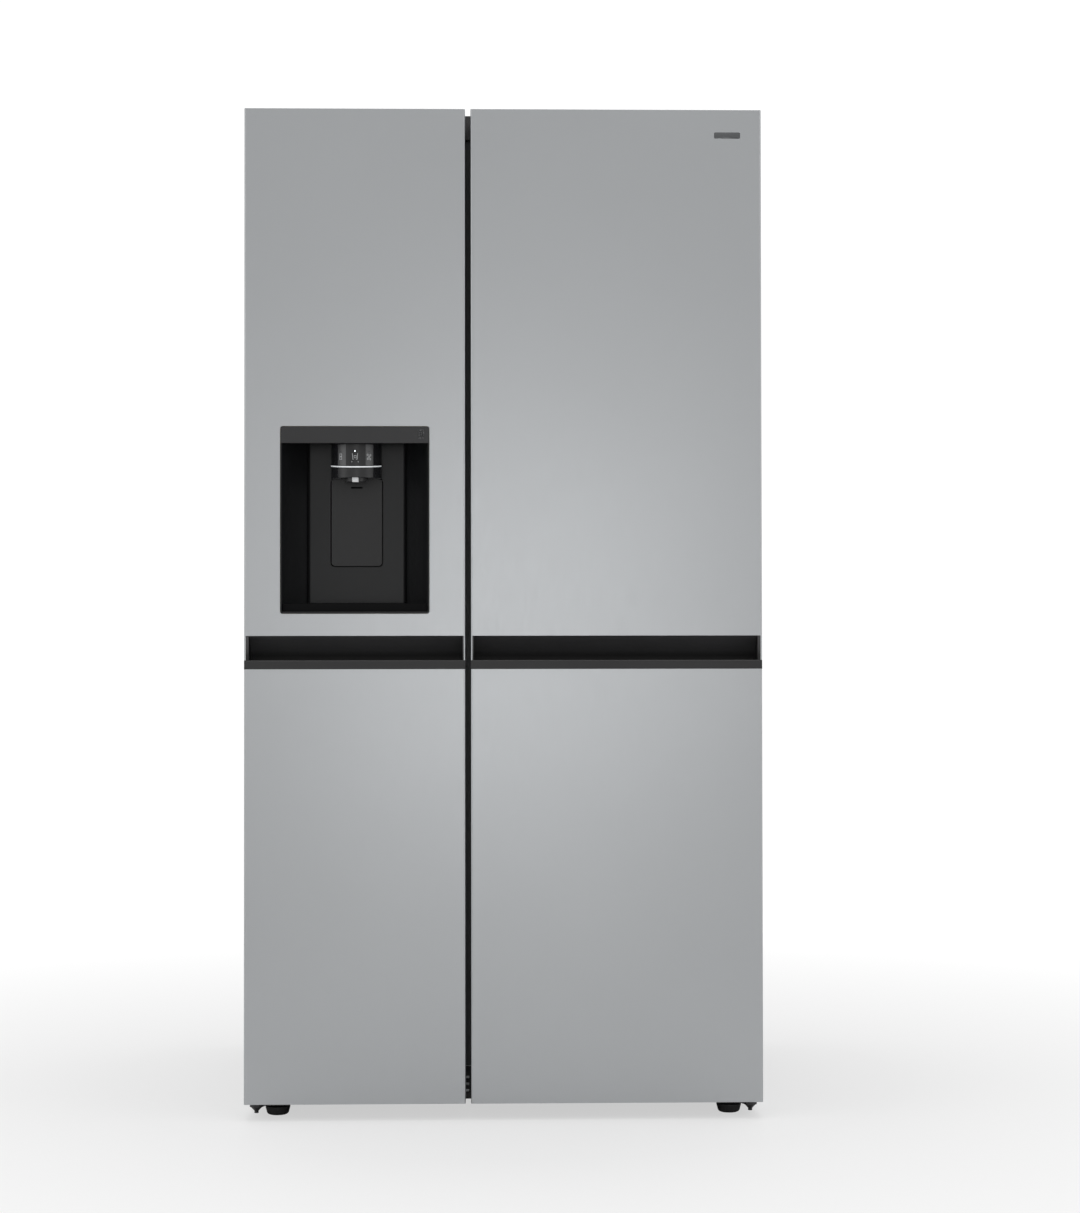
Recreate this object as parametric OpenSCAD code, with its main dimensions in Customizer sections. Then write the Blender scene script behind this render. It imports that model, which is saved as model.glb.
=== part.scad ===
// Side by side refrigerator: freezer on the left, fresh food on the right, ice and water in the left door.
// Units are millimetres. X runs to the right, Y to the back and Z up. The origin is on the floor, under the
// middle of the box that holds the whole appliance.

/* [Body] */
// Width over the doors
width = 912; // [900:1:930]
// Depth from the door fronts to the water valve at the back
depth = 852; // [840:1:880]
// Height to the top of the hinge cover
height = 1786; // [1780:1:1800]
// Height of the steel case
case_top = 1742; // [1738:1:1744]

/* [Doors] */
// Width of the freezer door
freezer_door_w = 388.5; // [380:0.5:395]
// Gap between the two doors
door_gap = 9.5; // [8:0.5:12]
// Underside of the doors above the floor
door_bottom = 29; // [28:1:31]
// Top edge of the front panels
door_top = 1780; // [1778:1:1781]
// Thickness of a door without its gasket
door_t = 78; // [78:1:80]
// Thickness of the gasket zone
gasket_t = 16; // [15:1:18]
// Bottom edge of the upper steel panel, which is the top of the hand pocket
pocket_top = 850; // [848:1:852]
// Top of the grip lip
lip_top = 807; // [806:1:808]
// Bottom of the grip lip
lip_bottom = 791.5; // [790:0.5:793]

/* [Dispenser] */
// Width of the dispenser surround
dispenser_w = 262; // [256:1:264]
// Bottom of the dispenser surround
dispenser_bottom = 889; // [886:1:892]
// Top of the dispenser surround
dispenser_top = 1219; // [1217:1:1221]
// Width of the paddle
paddle_w = 90; // [88:0.5:96]
// Height of the paddle
paddle_h = 156; // [150:1:159]

/* [Interior] */
// Foam and sheet between the case side and the freezer
freezer_wall = 58; // [56:1:60]
// Foam and sheet between the case side and the fresh food compartment
fridge_wall = 50; // [48:1:52]
// Width of the wall between the compartments
mullion_w = 54; // [52:1:56]
// Number of vertical fins on the evaporator
evaporator_fins = 22; // [10:1:30]
// Number of blades on each fan
fan_blades = 7; // [5:1:9]

/* [Hidden] */
$fn = 48;

sheet = 1;
liner_t = 2;
run = 0.06;                 // radial clearance of a pin in its bearing

// Planes from front to back
half_w = width / 2;
front_y = -depth / 2;
back_y = depth / 2;
door_back_y = front_y + door_t;
case_front_y = door_back_y + gasket_t;
case_back_y = back_y - 28;
foam_back_y = case_back_y - 2;
cavity_back_y = foam_back_y - 61;

// The two doors
freezer_door_x = [-half_w, -half_w + freezer_door_w];
fridge_door_x = [freezer_door_x[1] + door_gap, half_w];
hinge_x = half_w - 18;      // both hinge axes, at plus and minus this X
hinge_y = front_y + 48;
panel_r = 3;                // outside radius of the folded panel edges
panel_ledge = 12;           // depth of the raised front edge above the hinge
cap_top = door_top - 10;
badge = [396, 1734.5];
badge_w = 46;
badge_h = 11;
cap_t = 14;
low_cap_t = 12;
foam_z = [door_bottom + low_cap_t, cap_top - cap_t];  // foam and liner of a door

// The case and its two cavities
case_x = half_w - 1;
foam_x = case_x - sheet;
foam_bottom = 80;
foam_top = case_top - sheet;
mullion_x = (freezer_door_x[1] + fridge_door_x[0]) / 2;
freezer_x = [-case_x + freezer_wall, mullion_x - mullion_w / 2];
fridge_x = [mullion_x + mullion_w / 2, case_x - fridge_wall];
cavity_z = [118, 1690];
step_y = 110;               // the cavities are shallower below this step, over the machine room
step_z = 330;
machine_y = step_y + 55;
machine_z = step_z - 55;

// Shelves rest on ledges moulded in the liners
ledge_w = 8;
glass_t = 5;
freezer_shelf_z = [360, 580, 810, 1050, 1318];
fridge_shelf_z = [360, 605, 785, 1005, 1225, 1445];
deli_ledge_z = 653;
freezer_shelf_front = -222;
fridge_shelf_front = -203;
duct_y = 250;               // face of the freezer's rear duct

// Door inner forms
dyke_w = 26;
dyke_y = door_back_y + 38;
freezer_dyke_x = [freezer_x[0] + 6, freezer_x[1] - 7.75];
fridge_dyke_x = [fridge_x[0] + 8.75, fridge_x[1] - 6];
dyke_z = [cavity_z[0] + 8, cavity_z[1] - 8];
freezer_bin_z = [153, 390, 630, 1500];
fridge_bin_z = [153, 470, 790, 1090];
dairy_z = 1400;
bin_h = 105;
bin_wall = 2.5;
freezer_bin_y = [door_back_y + 0.5, door_back_y + 102];
fridge_bin_y = [door_back_y + 0.5, door_back_y + 126];

// Dispenser, centred on the freezer door
disp_x = (freezer_door_x[0] + freezer_door_x[1]) / 2;
disp_wall = 2.5;
disp_depth = 85;
bump_w = 176;               // the raised panel in the back of the recess
bump_y = front_y + 70;
bump_bottom = 909;
fascia_bottom = 1189;
paddle_top = 1131;
paddle_axis_y = front_y + 74;
paddle_axis_z = paddle_top - 3;
head_r = 46;
head_y = front_y + 60;
head_bottom = 1130;
surround_x = [disp_x - dispenser_w / 2, disp_x + dispenser_w / 2];
surround_z = [dispenser_bottom, dispenser_top];
paddle_room_x = [disp_x - paddle_w / 2 - 6.5, disp_x + paddle_w / 2 + 6.5];
paddle_room_y = front_y + 107;
paddle_room_z = [paddle_top - paddle_h - 6, paddle_top + 6];
chute_lean = 31.7;
chute_r = 24;
bulge_y = front_y + 130;
chute_bulge_y = front_y + 180;
chute_top = 1322;

// Base
roller_r = 20;
roller_y = [-262, 352];
roller_z = [roller_r + 2.5, roller_r];
axle_r = 4;
rail_out = [foam_x - 3, foam_x];
rail_in = [foam_x - 30, foam_x - 27];
foot_x = 402;
foot_y = -356;
foot_stem_r = 5;
hinge_pin_r = 4;

// ---------------------------------------------------------------- shared shapes

// A block from its ranges along X, Y and Z
module box(x, y, z) {
    translate([x[0], y[0], z[0]]) cube([x[1] - x[0], y[1] - y[0], z[1] - z[0]]);
}

// An open tray: ranges, wall thickness
module tray(x, y, z, t) {
    difference() {
        box(x, y, z);
        box([x[0] + t, x[1] - t], [y[0] + t, y[1] - t], [z[0] + t, z[1] + 1]);
    }
}

// Sweeps a Y-Z outline along X
module along_x(x) {
    translate([x[0], 0, 0]) rotate([90, 0, 90]) linear_extrude(x[1] - x[0]) children();
}

// A rectangle in X-Y whose two front corners are round
module front_rounded(x, y, r) {
    translate([x[0] + r, y[0]]) square([x[1] - x[0] - 2 * r, y[1] - y[0]]);
    translate([x[0], y[0] + r]) square([x[1] - x[0], y[1] - y[0] - r]);
    for (cx = [x[0] + r, x[1] - r]) translate([cx, y[0] + r]) circle(r);
}

// A rectangle with four round corners, centred on the origin
module rounded_rect(w, h, r) {
    square([w - 2 * r, h], center = true);
    square([w, h - 2 * r], center = true);
    for (sx = [-1, 1], sy = [-1, 1]) translate([sx * (w / 2 - r), sy * (h / 2 - r)]) circle(r);
}

// A rounded plate standing in the X-Z plane
module upright_plate(cx, cz, w, h, r, y) {
    translate([cx, y[1], cz]) rotate([90, 0, 0]) linear_extrude(y[1] - y[0]) rounded_rect(w, h, r);
}

// Both sides of the centre plane
module both_sides() {
    children();
    mirror([1, 0, 0]) children();
}

// An axial fan on +Z, from z = 0
module fan(r, hub_r, bore_r, h) {
    difference() {
        union() {
            cylinder(r = hub_r, h = h);
            for (i = [0:fan_blades - 1])
                rotate([0, 0, i * 360 / fan_blades])
                    translate([hub_r - 2, 0, h / 2])
                        rotate([38, 0, 0])
                            translate([0, -h * 0.62, -0.8]) cube([r - hub_r, h * 1.24, 1.6]);
        }
        translate([0, 0, -1]) cylinder(r = bore_r, h = h - 3);
    }
}

// ---------------------------------------------------------------- cabinet

// The free space of one compartment, grown by i on every wall
module cavity(x, i, front) {
    box([x[0] - i, x[1] + i], [front, cavity_back_y + i], [step_z - i, cavity_z[1] + i]);
    box([x[0] - i, x[1] + i], [front, step_y + i], [cavity_z[0] - i, step_z + 20]);
}

module case_shell() {
    color("gray")
    difference() {
        box([-case_x, case_x], [case_front_y, case_back_y], [38, case_top]);
        box([-foam_x, foam_x], [case_front_y - 1, case_back_y + 1], [37, foam_top]);
    }
}

module back_panel() {
    color("darkgray")
    box([-foam_x, foam_x], [foam_back_y, foam_back_y + sheet], [machine_z, foam_top]);
}

module cabinet_foam() {
    color("khaki")
    difference() {
        box([-foam_x, foam_x], [case_front_y + sheet, foam_back_y], [foam_bottom, foam_top]);
        cavity(freezer_x, liner_t, case_front_y);
        cavity(fridge_x, liner_t, case_front_y);
        box([-foam_x - 1, foam_x + 1], [machine_y, foam_back_y + 1], [foam_bottom - 1, machine_z]);
    }
}

module ledges(x, heights, y) {
    for (z = heights) {
        box([x[0], x[0] + ledge_w], y, [z - ledge_w, z]);
        box([x[1] - ledge_w, x[1]], y, [z - ledge_w, z]);
    }
}

module liner(x) {
    difference() {
        cavity(x, liner_t, case_front_y + sheet);
        cavity(x, 0, case_front_y - 1);
    }
}

module freezer_liner() {
    color("white") {
        liner(freezer_x);
        ledges(freezer_x, freezer_shelf_z, [freezer_shelf_front + 9, duct_y - 2]);
    }
}

module fridge_liner() {
    color("white") {
        liner(fridge_x);
        ledges(fridge_x, concat(fridge_shelf_z, [deli_ledge_z]), [fridge_shelf_front + 11, 300]);
    }
}

module front_flange() {
    color("dimgray")
    difference() {
        box([-foam_x, foam_x], [case_front_y, case_front_y + sheet], [foam_bottom, foam_top]);
        for (x = [freezer_x, fridge_x])
            box(x, [case_front_y - 1, case_front_y + 2], cavity_z);
    }
}

module base_frame() {
    color("slategray") {
        // Roller channels with their axles
        both_sides() {
            for (rail = [rail_out, rail_in]) box(rail, [-326, foam_back_y], [10, foam_bottom]);
            for (i = [0, 1])
                translate([rail_in[0], roller_y[i], roller_z[i]])
                    rotate([0, 90, 0]) cylinder(r = axle_r, h = rail_out[1] - rail_in[0]);
            box([rail_in[1], rail_out[0]], [-326, machine_y], [foam_bottom - 2, foam_bottom]);
            box(rail_out, [machine_y, foam_back_y], [foam_bottom - 1, machine_z]);
        }
        // Front cross rail, bottom pan, machine room floor and lining
        box([-rail_in[0], rail_in[0]], [-326, -324], [30, foam_bottom]);
        box([-rail_in[0], rail_in[0]], [-326, machine_y], [foam_bottom - 2, foam_bottom]);
        box([-rail_in[0], rail_in[0]], [machine_y, foam_back_y], [36, 38]);
        box([-foam_x, foam_x], [machine_y, machine_y + 1.5], [foam_bottom - 2, machine_z]);
        box([-rail_in[0], rail_in[0]], [machine_y, machine_y + 1.5], [36, foam_bottom]);
        box([-foam_x, foam_x], [machine_y, foam_back_y], [machine_z - 1.5, machine_z]);
    }
}

// Part of the cover that reaches over the hinge pin
module hinge_snout(z, r, back) {
    translate([hinge_x, hinge_y, z[0]]) cylinder(r = r, h = z[1] - z[0]);
    box([hinge_x - r, hinge_x + r], [hinge_y, back], z);
}

module top_hinge_cover() {
    cover_x = case_x - 3;
    cover_y = [case_front_y - 9, case_front_y + 92];
    cover_t = 2.5;
    arm_slot_x = [hinge_x - 14, hinge_x + 16];
    color("dimgray") {
        difference() {
            box([-cover_x, cover_x], cover_y, [case_top, height]);
            box([-cover_x + cover_t, cover_x - cover_t], [cover_y[0] + cover_t, cover_y[1] - cover_t],
                [case_top - 1, height - cover_t]);
            both_sides() box(arm_slot_x, [cover_y[0] - 1, cover_y[0] + 4], [case_top - 1, door_top - 3]);
        }
        both_sides() hinge_snout([door_top + 1, height], 14, cover_y[0] + 1);
    }
}

module upper_hinges() {
    arm_z = [cap_top, cap_top + 4];
    riser_y = [case_front_y + 2, case_front_y + 6];
    plate_x = [hinge_x - 34, hinge_x + 11];
    color("silver")
    both_sides() {
        translate([hinge_x, hinge_y, arm_z[0] + 0.5]) cylinder(r = 13, h = 3.5);
        box([hinge_x - 13, hinge_x + 11], [hinge_y, riser_y[1]], [arm_z[0] + 0.5, arm_z[1]]);
        box([hinge_x - 13, hinge_x + 11], riser_y, [case_top, arm_z[1]]);
        box(plate_x, [riser_y[0], riser_y[1] + 70], [case_top, case_top + 4]);
        translate([hinge_x, hinge_y, cap_top - 24]) cylinder(r = hinge_pin_r, h = 25);
        for (p = [[-24, 22], [-24, 60], [0, 60]])
            translate([hinge_x + p[0], riser_y[1] + p[1], case_top + 3]) cylinder(r = 6, h = 6, $fn = 6);
    }
}

module lower_hinges() {
    plate_z = [17, 22];
    tab_y = [case_front_y, -326];
    color("slategray")
    both_sides()
        difference() {
            union() {
                box([foot_x - 22, rail_out[1] - 4], [foot_y - 16, tab_y[1]], plate_z);
                box([hinge_x - 14, hinge_x + 12], [hinge_y, foot_y - 16], plate_z);
                translate([hinge_x, hinge_y, plate_z[0]]) cylinder(r = 12, h = plate_z[1] - plate_z[0]);
                box([foot_x - 22, rail_out[1] - 4], tab_y, [plate_z[0], 76]);
                // Threaded boss of the levelling foot
                translate([foot_x, foot_y, plate_z[0]]) cylinder(r = 9, h = 9, $fn = 6);
                // Door pin above, adjusting post and its flare below
                translate([hinge_x, hinge_y, plate_z[0]]) cylinder(r = hinge_pin_r, h = 31);
                translate([hinge_x, hinge_y, 10]) cylinder(r1 = 3.75, r2 = 10.5, h = 7);
                translate([hinge_x, hinge_y, 6]) cylinder(r = 3.75, h = 5);
            }
            translate([foot_x, foot_y, 0]) cylinder(r = foot_stem_r + run, h = 40);
        }
}

module toe_grille() {
    grille_x = foot_x - 26;
    slot_w = 30;
    pitch = 44;
    color("black")
    difference() {
        box([-grille_x, grille_x], [case_front_y, case_front_y + 5], [20, 78]);
        for (x = [-grille_x + 20:pitch:grille_x - 20 - slot_w], z = [32, 44, 56])
            box([x, x + slot_w], [case_front_y - 1, case_front_y + 6], [z, z + 5]);
    }
}

// ---------------------------------------------------------------- machine room

module compressor() {
    pot_r = 78;
    color("black")
    translate([270, 283, 0]) {
        rotate_extrude($fn = 64)
            polygon(concat(
                [[0, 56], [pot_r - 12, 56], [pot_r - 4, 66], [pot_r, 74], [pot_r, 96], [pot_r + 4, 98],
                 [pot_r + 4, 104], [pot_r, 106]],
                [for (a = [0:9:90]) [pot_r * cos(a), 178 + 42 * sin(a)]]));
        // Feet and their rubber mounts
        for (sx = [-1, 1], sy = [-1, 1])
            translate([sx * 62, sy * 62, 0]) {
                translate([0, 0, 54]) cylinder(r = 13, h = 4);
                translate([0, 0, 38]) cylinder(r = 11, h = 16);
            }
        box([-68, 68], [-68, 68], [53, 57]);
        translate([-90, -26, 110]) cube([22, 52, 56]);
    }
}

module condenser_coil() {
    rows = 6;
    pitch = 26;
    tube_r = 4;
    span = [-395, -185];
    color("black")
    for (layer = [0:2])
        translate([0, 225 + layer * 50, 92]) {
            for (i = [0:rows - 1])
                translate([span[0], 0, i * pitch])
                    rotate([0, 90, 0]) cylinder(r = tube_r, h = span[1] - span[0]);
            for (i = [0:rows - 2])
                translate([i % 2 == 0 ? span[1] : span[0], 0, (i + 0.5) * pitch])
                    rotate([90, 0, 0]) rotate([0, 0, i % 2 == 0 ? -90 : 90])
                        rotate_extrude(angle = 180) translate([pitch / 2, 0]) circle(tube_r);
            for (x = [span[0] + 12:14:span[1] - 8])
                box([x, x + 1.5], [-tube_r - 1.5, -tube_r + 0.5], [-6, (rows - 1) * pitch + 6]);
        }
}

module condenser_fan_motor() {
    cx = -110;
    cy = 282;
    cz = 152;
    color("dimgray") {
        // Shroud with its round mouth
        difference() {
            box([cx - 20, cx - 17], [machine_y + 6, foam_back_y - 6], [38, machine_z - 6]);
            translate([cx - 25, cy, cz]) rotate([0, 90, 0]) cylinder(r = 76, h = 20);
        }
        // Motor on its post
        translate([cx + 22, cy, cz]) rotate([0, 90, 0]) cylinder(r = 28, h = 40);
        translate([cx + 4, cy, cz]) rotate([0, 90, 0]) cylinder(r = 3, h = 20);
        box([cx + 34, cx + 52], [cy - 9, cy + 9], [38, cz - 20]);
    }
}

module condenser_fan() {
    color("whitesmoke")
    translate([-94, 282, 152]) rotate([0, -90, 0]) fan(70, 18, 3 + run, 20);
}

module drain_pan() {
    color("ivory") tray([-410, -170], [190, 380], [38.5, 66], 2.5);
}

module machine_cover() {
    color("gray")
    difference() {
        box([-foam_x + 1, foam_x - 1], [foam_back_y, case_back_y], [40, machine_z - 2]);
        for (x0 = [-380, 120], i = [0:9], j = [0:3])
            box([x0 + i * 24, x0 + i * 24 + 12], [foam_back_y - 1, case_back_y + 1],
                [78 + j * 42, 108 + j * 42]);
        translate([-330, foam_back_y - 1, 240]) rotate([-90, 0, 0]) cylinder(r = 8, h = 5);
        translate([40, foam_back_y - 1, 220]) rotate([-90, 0, 0]) cylinder(r = 11, h = 5);
    }
}

module water_valve() {
    color("whitesmoke") {
        box([-60, -4], [case_back_y, back_y - 2], [60, 98]);
        translate([-46, case_back_y + 13, 98]) cylinder(r = 9, h = 20);
        translate([-18, case_back_y + 13, 98]) cylinder(r = 9, h = 20);
        box([-44, -20], [back_y - 2, back_y], [66, 92]);
        // Water inlet stub, pointing down
        translate([-32, case_back_y + 13, 44]) cylinder(r = 6.35, h = 16);
    }
}

module power_gland() {
    color("black")
    translate([40, foam_back_y - 6, 220]) rotate([-90, 0, 0])
        difference() {
            union() {
                cylinder(r = 11, h = 10);
                translate([0, 0, 8]) cylinder(r = 15, h = 4);
                translate([0, 0, 12]) cylinder(r1 = 10, r2 = 7, h = 14);
            }
            translate([0, 0, -1]) cylinder(r = 4.6, h = 40);
        }
}

// ---------------------------------------------------------------- cold circuit and ducts

module evaporator_coil() {
    x = [freezer_x[0] + 14, freezer_x[1] - 14];
    tube_r = 4;
    pitch = (x[1] - x[0] - 30) / (evaporator_fins - 1);
    color("silver") {
        for (i = [0:evaporator_fins - 1])
            box([x[0] + 15 + i * pitch, x[0] + 16 + i * pitch], [270, 320], [420, 700]);
        for (z = [440:34:690], y = [283, 307])
            translate([x[0], y, z]) rotate([0, 90, 0]) cylinder(r = tube_r, h = x[1] - x[0], $fn = 24);
    }
}

module freezer_air_duct() {
    cx = (freezer_x[0] + freezer_x[1]) / 2;
    fan_z = 935;
    duct_x = [freezer_x[0] + 1, freezer_x[1] - 1];
    color("white") {
        difference() {
            box(duct_x, [duct_y, duct_y + 3], [step_z + 1, 1680]);
            translate([cx, duct_y - 1, fan_z]) rotate([-90, 0, 0]) cylinder(r = 66, h = 6);
            // Return slots at the bottom, supply slots higher up
            for (x = [duct_x[0] + 30:26:duct_x[1] - 40])
                box([x, x + 14], [duct_y - 1, duct_y + 4], [378, 404]);
            for (z = [690, 1160, 1250], x = [cx - 90, cx + 30])
                box([x, x + 60], [duct_y - 1, duct_y + 4], [z, z + 12]);
        }
        // Motor cup on three arms behind the fan
        translate([cx, duct_y + 3, fan_z]) rotate([-90, 0, 0]) {
            translate([0, 0, 38]) cylinder(r = 24, h = 26);
            translate([0, 0, 18]) cylinder(r = 3, h = 21);
            for (a = [90, 210, 330]) rotate([0, 0, a]) {
                translate([20, -4, 46]) cube([62, 8, 6]);
                translate([76, -4, 0]) cube([6, 8, 52]);
            }
        }
    }
}

module evaporator_fan() {
    color("gray")
    translate([(freezer_x[0] + freezer_x[1]) / 2, duct_y + 38, 935]) rotate([90, 0, 0])
        fan(60, 16, 3 + run, 22);
}

module fridge_air_duct() {
    duct_x = [110, 260];
    color("white")
    difference() {
        box(duct_x, [cavity_back_y - 18, cavity_back_y], [step_z + 60, 1660]);
        for (z = [700, 900, 1120, 1340, 1560], x = [duct_x[0] + 18, duct_x[1] - 58])
            box([x, x + 40], [cavity_back_y - 19, cavity_back_y - 8], [z, z + 14]);
    }
}

// ---------------------------------------------------------------- shelves, drawers and bins

module freezer_shelves() {
    color("lightblue")
    for (z = freezer_shelf_z) {
        box([freezer_x[0] + 1, freezer_x[1] - 1], [freezer_shelf_front + 8, duct_y - 2],
            [z, z + glass_t]);
        box([freezer_x[0] + 1, freezer_x[1] - 1], [freezer_shelf_front, freezer_shelf_front + 8],
            [z - 7, z + glass_t + 2]);
    }
}

module fridge_shelves() {
    color("lightblue")
    for (z = fridge_shelf_z) {
        back = z == fridge_shelf_z[0] ? 290 : 306;
        box([fridge_x[0] + 1, fridge_x[1] - 1], [fridge_shelf_front + 10, back], [z, z + glass_t]);
        box([fridge_x[0] + 1, fridge_x[1] - 1], [fridge_shelf_front, fridge_shelf_front + 10],
            [z - 7, z + glass_t + 2]);
    }
}

// A drawer with a pull lip along the top of its front
module drawer(x, y, z) {
    lip_d = 12;
    tray(x, [y[0] + lip_d, y[1]], z, 3);
    box([x[0] + 20, x[1] - 20], [y[0], y[0] + lip_d + 1], [z[1] - 5, z[1]]);
    box([x[0] + 20, x[1] - 20], [y[0], y[0] + 3], [z[1] - 22, z[1] - 4]);
}

freezer_drawer_x = [freezer_x[0] + ledge_w + 1.5, freezer_x[1] - ledge_w - 1.5];
fridge_drawer_x = [fridge_x[0] + ledge_w + 1.5, fridge_x[1] - ledge_w - 1.5];

module freezer_drawer_upper() {
    color("azure") drawer(freezer_drawer_x, [freezer_shelf_front - 2, 235], [369, 560]);
}

module freezer_drawer_lower() {
    color("azure") drawer(freezer_drawer_x, [freezer_shelf_front - 2, step_y - 12], [119, 340]);
}

module deli_drawer() {
    color("azure") drawer(fridge_drawer_x, [fridge_shelf_front - 2, 240], [deli_ledge_z + 1, 768]);
}

module crisper_upper() {
    color("azure") drawer(fridge_drawer_x, [fridge_shelf_front - 2, 260], [369, 588]);
}

module crisper_lower() {
    color("azure") drawer(fridge_drawer_x, [fridge_shelf_front - 2, step_y - 12], [119, 340]);
}

// Door bins: trays between the dyke walls, with a taller back wall on the door side
module bins(x, y, heights, h) {
    for (z = heights) tray(x, y, [z, z + h], bin_wall);
}

freezer_bin_x = [freezer_dyke_x[0] + dyke_w + 1, freezer_dyke_x[1] - dyke_w - 1];
fridge_bin_x = [fridge_dyke_x[0] + dyke_w + 1, fridge_dyke_x[1] - dyke_w - 1];

module freezer_door_bins() {
    color("azure") bins(freezer_bin_x, freezer_bin_y, freezer_bin_z, bin_h);
}

module fridge_door_bins() {
    color("azure") {
        bins(fridge_bin_x, fridge_bin_y, fridge_bin_z, bin_h);
        bins(fridge_bin_x, [fridge_bin_y[0], fridge_bin_y[1] - 14], [dairy_z], bin_h - 15);
        // Hinge ears of the dairy cover
        for (x = [fridge_bin_x[0], fridge_bin_x[1] - 6])
            difference() {
                box([x, x + 6], [fridge_bin_y[0], fridge_bin_y[0] + 16],
                    [dairy_z + bin_h - 16, dairy_z + bin_h + 6]);
                translate([x - 1, fridge_bin_y[0] + 8, dairy_z + bin_h - 2])
                    rotate([0, 90, 0]) cylinder(r = 3 + run, h = 8, $fn = 24);
            }
    }
}

module dairy_cover() {
    x = [fridge_bin_x[0] + 7, fridge_bin_x[1] - 7];
    axis = [fridge_bin_y[0] + 8, dairy_z + bin_h - 2];
    color("azure") {
        box(x, [axis[0], fridge_bin_y[1] - 12], [axis[1] + 0.5, axis[1] + 3]);
        box(fridge_bin_x, [fridge_bin_y[1] - 13.5, fridge_bin_y[1] - 11], [axis[1] - 30, axis[1] + 3]);
        translate([fridge_bin_x[0], axis[0], axis[1]])
            rotate([0, 90, 0]) cylinder(r = 3, h = fridge_bin_x[1] - fridge_bin_x[0], $fn = 24);
    }
}

// ---------------------------------------------------------------- ice and water

module ice_maker() {
    color("whitesmoke") {
        difference() {
            box([-372, -150], [60, 176], [1538, 1590]);
            for (i = [0:6])
                translate([-356 + i * 29, 118, 1594])
                    intersection() {
                        rotate([0, 90, 0]) cylinder(r = 48, h = 25);
                        box([-1, 26], [-44, 44], [-48, 10]);
                    }
        }
        box([-150, -112], [48, 190], [1505, 1650]);
        for (x = [-372, -156]) box([x, x + 5], [168, 176], [1590, 1690]);
        box([-150, -145], [168, 176], [1650, 1690]);
    }
}

module ice_bucket() {
    x = [freezer_x[0] + 19, freezer_x[1] - 17];
    y = [-266, 225];
    z = [1326, 1480];
    snout_x = [disp_x - 58, disp_x + 58];
    color("azure")
    difference() {
        union() {
            box(x, y, z);
            box(snout_x, [-318, y[0] + 1], [1330, 1450]);
        }
        box([x[0] + 3, x[1] - 3], [y[0] + 3, y[1] - 3], [z[0] + 3, z[1] + 1]);
        box([snout_x[0] + 3, snout_x[1] - 3], [-315, y[0] + 5], [1333, 1447]);
        // Ice outlet over the door's chute, and the bearing of the auger
        box([disp_x - 28, disp_x + 28], [-310, -274], [1329, 1345]);
        translate([disp_x, y[1] - 5, 1395]) rotate([-90, 0, 0]) cylinder(r = 6 + run, h = 10);
    }
}

module ice_auger() {
    turns = 5;
    per_turn = 8;
    y = [-250, 200];
    color("silver")
    translate([disp_x, 0, 1395]) {
        translate([0, y[0], 0]) rotate([-90, 0, 0]) cylinder(r = 6, h = 232 - y[0]);
        for (i = [0:turns * per_turn])
            translate([0, y[0] + 10 + i * (y[1] - y[0] - 20) / (turns * per_turn), 0])
                rotate([0, i * 360 / per_turn, 0])
                    translate([0, -2, -5]) cube([42, 4, 10]);
    }
}

module filter_housing() {
    color("white")
    difference() {
        union() {
            box([40, 300], [-190, 60], [1658, 1690]);
            box([312, 392], [-60, 60], [1640, 1690]);
        }
        box([60, 280], [-180, -60], [1650, 1662]);
        translate([352, -70, 1660]) rotate([-90, 0, 0]) cylinder(r = 20 + run, h = 110);
    }
}

module water_filter() {
    color("white")
    translate([352, 0, 1660]) {
        translate([0, -62, 0]) rotate([-90, 0, 0]) cylinder(r = 20, h = 92);
        translate([0, -178, 0]) rotate([-90, 0, 0]) cylinder(r = 26, h = 117.5);
        translate([-5, -196, -24]) cube([10, 20, 48]);
    }
}

// ---------------------------------------------------------------- doors

// Air in the hand pocket, in Y-Z, grown by i
module pocket_2d(i) {
    lip_back = front_y + 13;
    deep = front_y + 46;
    centre_z = lip_top - 3;
    slot_r = (deep - lip_back) / 2;
    intersection() {
        translate([front_y, centre_z]) circle(46 + i, $fn = 96);
        translate([front_y - 1, centre_z]) square([60, 60]);
    }
    translate([lip_back - i, centre_z - 5]) square([deep - lip_back + 2 * i, 6]);
    translate([lip_back + slot_r, centre_z - 4]) circle(slot_r + i);
}

module lip_2d() {
    polygon([[front_y, lip_bottom], [front_y + 13, lip_bottom], [front_y + 13, lip_top - 3],
             [front_y + 11, lip_top], [front_y + 1.5, lip_top], [front_y, lip_top - 1.5]]);
}

module door_handle(x, outer_end, inner_end) {
    wall = 2.5;
    difference() {
        along_x([x[0] + panel_r, x[1] - panel_r])
            intersection() {
                pocket_2d(wall);
                translate([front_y + sheet, 0]) square([100, 2000]);
            }
        along_x([x[0] + outer_end, x[1] - inner_end]) pocket_2d(0);
        box([x[0] - 1, x[1] + 1], [front_y - 1, front_y + 13], [lip_bottom, lip_top]);
    }
    along_x(x) lip_2d();
}

// What fits inside the folded panel of a door, back to y
module inside_panel(x, y) {
    front_rounded([x[0] + sheet, x[1] - sheet], [front_y + sheet, y], panel_r - sheet);
}

// Folded front panel: front sheet and two sides
module door_channel(x, z) {
    translate([0, 0, z[0]]) linear_extrude(z[1] - z[0])
        difference() {
            front_rounded(x, [front_y, door_back_y], panel_r);
            inside_panel(x, door_back_y + 1);
        }
}

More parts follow.
